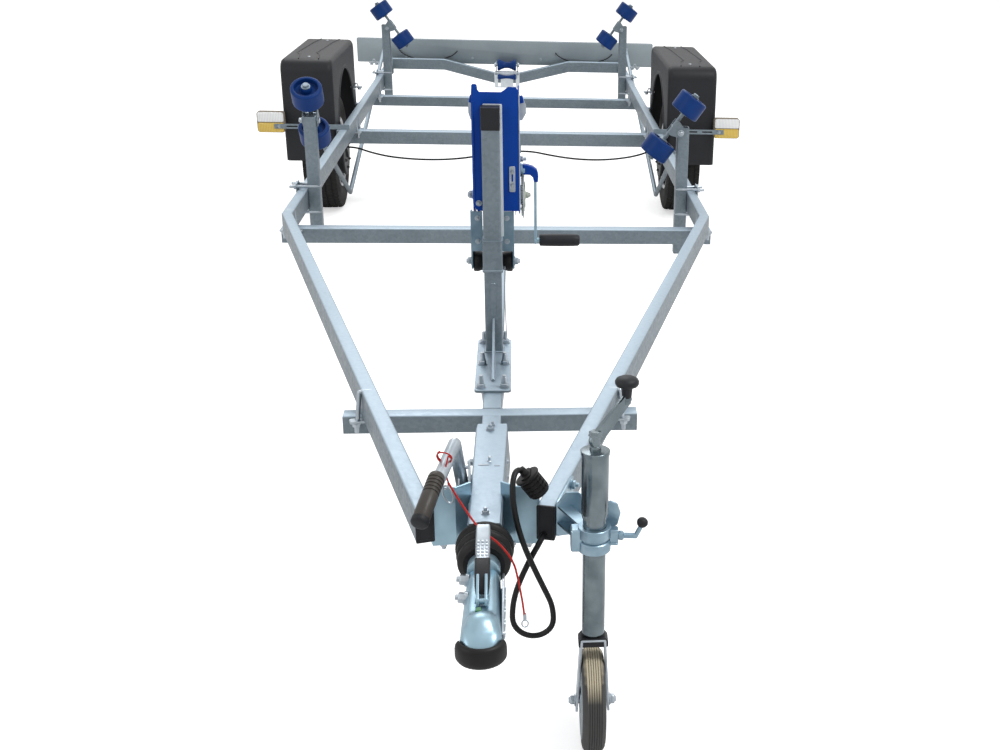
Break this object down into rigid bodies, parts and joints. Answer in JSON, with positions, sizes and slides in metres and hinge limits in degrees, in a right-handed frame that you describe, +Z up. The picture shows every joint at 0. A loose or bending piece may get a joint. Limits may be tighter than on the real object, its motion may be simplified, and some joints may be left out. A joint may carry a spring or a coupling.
{
  "type": "boat trailer",
  "caption": "Single-axle galvanised boat trailer with V drawbar, swinging blue side rollers, winch post, keel roller, lighting board, overrun coupling and jockey wheel.",
  "frame": {"origin": "on the ground under the middle of the bounding box", "axes": "+Y towards the tail, +X to the side with the jockey wheel, +Z up"},
  "size_m": [2.484, 7.545, 1.2153],
  "materials": {
    "black_cord": "cable sheath",
    "black_plastic": "grained",
    "blue_pu": "moulded, satin",
    "galvanised": "hot-dip galvanised, matt grey with spangle",
    "grey_tyre": "grey rubber",
    "lamp": "clear lens over red",
    "marker": "clear lens",
    "red_cord": "coated wire",
    "rim": "silver paint",
    "rubber": "matt",
    "tyre": "moulded rubber",
    "zinc": "bright zinc plated"
  },
  "bodies": {
    "trailer": {"axle_beam": "galvanised", "bellows": "rubber", "bend_cross_tube": "galvanised", "board_cable": "black_cord", "bow_stop_bracket": "galvanised", "brake_cables": "black_cord", "brake_lever": "zinc", "breakaway_cable": "red_cord", "breakaway_clip": "zinc", "coupling_bumper": "rubber", "coupling_handle": "black_plastic", "coupling_head": "galvanised", "drawbar_plates": "galvanised", "electric_cable": "black_cord", "end_caps": "black_plastic", "fender_stays": "galvanised", "fenders": "black_plastic", "front_cross_tube": "galvanised", "guard_bars": "galvanised", "jockey_clamp": "zinc", "jockey_tube": "zinc", "keel_roller_bracket": "galvanised", "keel_tube": "galvanised", "light_board": "galvanised", "main_rails": "galvanised", "marker_lamp_arms": "galvanised", "marker_lamps": "marker", "mid_cross_tube": "galvanised", "overrun_housing": "galvanised", "rear_v_cross_beam": "galvanised", "roller_posts_front": "galvanised", "roller_posts_rear": "galvanised", "suspension_arms": "galvanised", "tail_lamps": "lamp", "trailer_plug": "black_plastic", "winch_frame": "blue_pu", "winch_post": "galvanised", "winch_rubber_blocks": "rubber"},
    "wheel_left": {"tyre_left": "tyre", "rim_left": "rim"},
    "wheel_right": {"tyre_right": "tyre", "rim_right": "rim"},
    "jockey_leg": {"jockey_leg": "zinc"},
    "jockey_fork": {"jockey_fork": "zinc"},
    "jockey_wheel": {"jockey_wheel": "grey_tyre"},
    "winch_drum": {"winch_drum": "zinc"},
    "winch_crank": {"winch_crank": "zinc"},
    "keel_roller": {"keel_roller": "blue_pu"},
    "arm_front_left": {"roller_arm_front_left": "galvanised"},
    "roller_front_left_outer": {"side_roller_front_left_outer": "blue_pu"},
    "roller_front_left_inner": {"side_roller_front_left_inner": "blue_pu"},
    "arm_front_right": {"roller_arm_front_right": "galvanised"},
    "roller_front_right_outer": {"side_roller_front_right_outer": "blue_pu"},
    "roller_front_right_inner": {"side_roller_front_right_inner": "blue_pu"},
    "arm_rear_left": {"roller_arm_rear_left": "galvanised"},
    "roller_rear_left_outer": {"side_roller_rear_left_outer": "blue_pu"},
    "roller_rear_left_inner": {"side_roller_rear_left_inner": "blue_pu"},
    "arm_rear_right": {"roller_arm_rear_right": "galvanised"},
    "roller_rear_right_outer": {"side_roller_rear_right_outer": "blue_pu"},
    "roller_rear_right_inner": {"side_roller_rear_right_inner": "blue_pu"}
  },
  "joints": [
    {"name": "wheel_left_spin", "type": "hinge", "parent": "trailer", "child": "wheel_left", "pos_m": [-0.985, 1.5685, 0.308], "axis": [1, 0, 0], "continuous": true},
    {"name": "wheel_right_spin", "type": "hinge", "parent": "trailer", "child": "wheel_right", "pos_m": [0.985, 1.5685, 0.308], "axis": [1, 0, 0], "continuous": true},
    {"name": "jockey_slide", "type": "slide", "parent": "trailer", "child": "jockey_leg", "axis": [0, 0, 1], "range_m": [-0.2, 0]},
    {"name": "jockey_swivel", "type": "hinge", "parent": "jockey_leg", "child": "jockey_fork", "pos_m": [0.224, -3.4135, 0.27], "axis": [0, 0, 1], "continuous": true},
    {"name": "jockey_wheel_spin", "type": "hinge", "parent": "jockey_fork", "child": "jockey_wheel", "pos_m": [0.224, -3.4135, 0.112], "axis": [1, 0, 0], "continuous": true},
    {"name": "winch_drum_spin", "type": "hinge", "parent": "trailer", "child": "winch_drum", "pos_m": [0.014, -2.004, 0.896], "axis": [1, 0, 0], "continuous": true},
    {"name": "winch_crank_spin", "type": "hinge", "parent": "trailer", "child": "winch_crank", "pos_m": [0.122, -2.004, 0.97], "axis": [1, 0, 0], "continuous": true},
    {"name": "keel_roller_spin", "type": "hinge", "parent": "trailer", "child": "keel_roller", "pos_m": [0, 3.6285, 0.523], "axis": [1, 0, 0], "continuous": true},
    {"name": "arm_front_left_tilt", "type": "hinge", "parent": "trailer", "child": "arm_front_left", "pos_m": [-0.767, -0.3135, 0.807], "axis": [1, 0, 0], "range_deg": [0, 54]},
    {"name": "roller_front_left_outer_spin", "type": "hinge", "parent": "arm_front_left", "child": "roller_front_left_outer", "pos_m": [-0.767, -0.34807, 0.91746], "axis": [0, -0.5807, 0.8141], "continuous": true},
    {"name": "roller_front_left_inner_spin", "type": "hinge", "parent": "arm_front_left", "child": "roller_front_left_inner", "pos_m": [-0.767, -0.22031, 0.73835], "axis": [0, -0.5807, 0.8141], "continuous": true},
    {"name": "arm_front_right_tilt", "type": "hinge", "parent": "trailer", "child": "arm_front_right", "pos_m": [0.755, -0.3255, 0.784], "axis": [0, 1, 0], "range_deg": [0, 54]},
    {"name": "roller_front_right_outer_spin", "type": "hinge", "parent": "arm_front_right", "child": "roller_front_right_outer", "pos_m": [0.78957, -0.3255, 0.89446], "axis": [0.5807, 0, 0.8141], "continuous": true},
    {"name": "roller_front_right_inner_spin", "type": "hinge", "parent": "arm_front_right", "child": "roller_front_right_inner", "pos_m": [0.66181, -0.3255, 0.71535], "axis": [0.5807, 0, 0.8141], "continuous": true},
    {"name": "arm_rear_left_tilt", "type": "hinge", "parent": "trailer", "child": "arm_rear_left", "pos_m": [-0.755, 3.0195, 0.822], "axis": [0, -1, 0], "range_deg": [0, 54]},
    {"name": "roller_rear_left_outer_spin", "type": "hinge", "parent": "arm_rear_left", "child": "roller_rear_left_outer", "pos_m": [-0.78957, 3.0195, 0.93246], "axis": [-0.5807, 0, 0.8141], "continuous": true},
    {"name": "roller_rear_left_inner_spin", "type": "hinge", "parent": "arm_rear_left", "child": "roller_rear_left_inner", "pos_m": [-0.66181, 3.0195, 0.75335], "axis": [-0.5807, 0, 0.8141], "continuous": true},
    {"name": "arm_rear_right_tilt", "type": "hinge", "parent": "trailer", "child": "arm_rear_right", "pos_m": [0.755, 3.0195, 0.846], "axis": [0, 1, 0], "range_deg": [0, 54]},
    {"name": "roller_rear_right_outer_spin", "type": "hinge", "parent": "arm_rear_right", "child": "roller_rear_right_outer", "pos_m": [0.78957, 3.0195, 0.95646], "axis": [0.5807, 0, 0.8141], "continuous": true},
    {"name": "roller_rear_right_inner_spin", "type": "hinge", "parent": "arm_rear_right", "child": "roller_rear_right_inner", "pos_m": [0.66181, 3.0195, 0.77735], "axis": [0.5807, 0, 0.8141], "continuous": true}
  ],
  "couplings": [
    {"joint": "winch_crank_spin", "follows": "winch_drum_spin", "ratio": -4}
  ]
}
